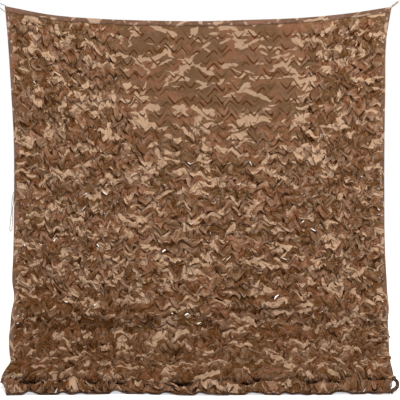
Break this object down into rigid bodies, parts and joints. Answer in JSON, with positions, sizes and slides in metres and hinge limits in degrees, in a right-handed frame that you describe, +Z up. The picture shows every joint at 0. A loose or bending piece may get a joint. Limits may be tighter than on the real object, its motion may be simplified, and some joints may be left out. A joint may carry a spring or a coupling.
{
  "type": "camouflage net",
  "caption": "Die-cut camouflage net hung by its top corners, with a bound edge, short ties and loops, and its foot in loose folds on the floor.",
  "frame": {"origin": "middle of the net's top edge, at its fold; the floor under the heaped foot is 1.865 m below", "axes": "+Z up, +X to the right across the net, -Y out of the net's front face, to where its foot is heaped"},
  "size_m": [2.1204, 0.3085, 1.9887],
  "materials": {
    "printed_cloth": "matt printed polyester cloth in brown, red-brown and sand",
    "binding_cloth": "matt, a strip of the same cloth folded over the edge",
    "grey_cord": "matt braided cord",
    "pale_cord": "matt braided cord"
  },
  "bodies": {
    "root": {"net_cloth": "printed_cloth", "binding_top": "binding_cloth", "binding_bottom": "binding_cloth", "binding_left": "binding_cloth", "binding_right": "binding_cloth", "corner_loop": "binding_cloth", "tie_left_upper": "grey_cord", "tie_left_lower": "grey_cord", "tie_left_knot": "grey_cord", "side_loop": "grey_cord", "tie_right_upper": "pale_cord", "tie_right_lower": "pale_cord"}
  },
  "joints": []
}
